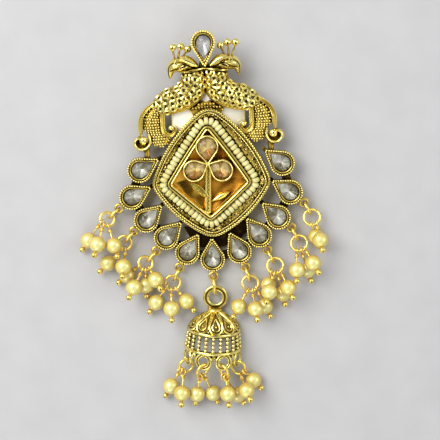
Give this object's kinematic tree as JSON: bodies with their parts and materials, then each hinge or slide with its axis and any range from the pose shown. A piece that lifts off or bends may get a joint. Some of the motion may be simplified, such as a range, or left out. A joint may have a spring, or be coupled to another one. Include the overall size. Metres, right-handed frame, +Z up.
{
  "type": "bird brooch",
  "caption": "Gilt brooch with paired peacocks over a kite-shaped setting, a fan of drop-cut stones, pearl clusters and a hanging half-round bell.",
  "frame": {"origin": "on the surface that the brooch lies on, below the middle of its outline", "axes": "+X to the right as seen from the front, +Y towards the birds, +Z up out of the front"},
  "size_m": [0.062, 0.0944, 0.0098],
  "materials": {
    "antique_gold": "bright gilt casting with dark antique patina in the grooves",
    "gold_wire": "polished gilt wire",
    "steel_pin": "plain drawn pin wire",
    "seed_bead": "satin ivory seed beads",
    "clear_stone": "foil-backed smoky clear cut stone",
    "champagne_stone": "foil-backed champagne cut stone",
    "pearl": "golden cream pearl coat"
  },
  "bodies": {
    "root": {"cast_frame": "antique_gold", "pin_stem": "steel_pin", "seed_bead_string": "seed_bead", "top_stone": "clear_stone", "flower_stone_1": "champagne_stone", "flower_stone_2": "champagne_stone", "flower_stone_3": "champagne_stone", "fan_stone_1": "clear_stone", "fan_stone_2": "clear_stone", "fan_stone_3": "clear_stone", "fan_stone_4": "clear_stone", "fan_stone_5": "clear_stone", "fan_stone_6": "clear_stone", "fan_stone_7": "clear_stone", "fan_stone_8": "clear_stone", "fan_stone_9": "clear_stone", "fan_stone_10": "clear_stone", "fan_stone_11": "clear_stone", "link_1": "gold_wire", "link_2": "gold_wire", "link_3": "gold_wire", "link_4": "gold_wire", "link_5": "gold_wire", "link_6": "gold_wire", "link_7": "gold_wire", "link_8": "gold_wire", "bell_link": "gold_wire", "jump_ring_1": "gold_wire", "jump_ring_2": "gold_wire", "jump_ring_3": "gold_wire", "jump_ring_4": "gold_wire", "jump_ring_5": "gold_wire", "jump_ring_6": "gold_wire", "jump_ring_7": "gold_wire", "jump_ring_8": "gold_wire", "pearls_1": "pearl", "pearls_2": "pearl", "pearls_3": "pearl", "pearls_4": "pearl", "pearls_5": "pearl", "pearls_6": "pearl", "pearls_7": "pearl", "pearls_8": "pearl", "head_pins_1": "gold_wire", "head_pins_2": "gold_wire", "head_pins_3": "gold_wire", "head_pins_4": "gold_wire", "head_pins_5": "gold_wire", "head_pins_6": "gold_wire", "head_pins_7": "gold_wire", "head_pins_8": "gold_wire", "jhumka_bell": "antique_gold", "jhumka_rings": "gold_wire", "jhumka_pearls": "pearl", "jhumka_pins": "gold_wire"}
  },
  "joints": []
}
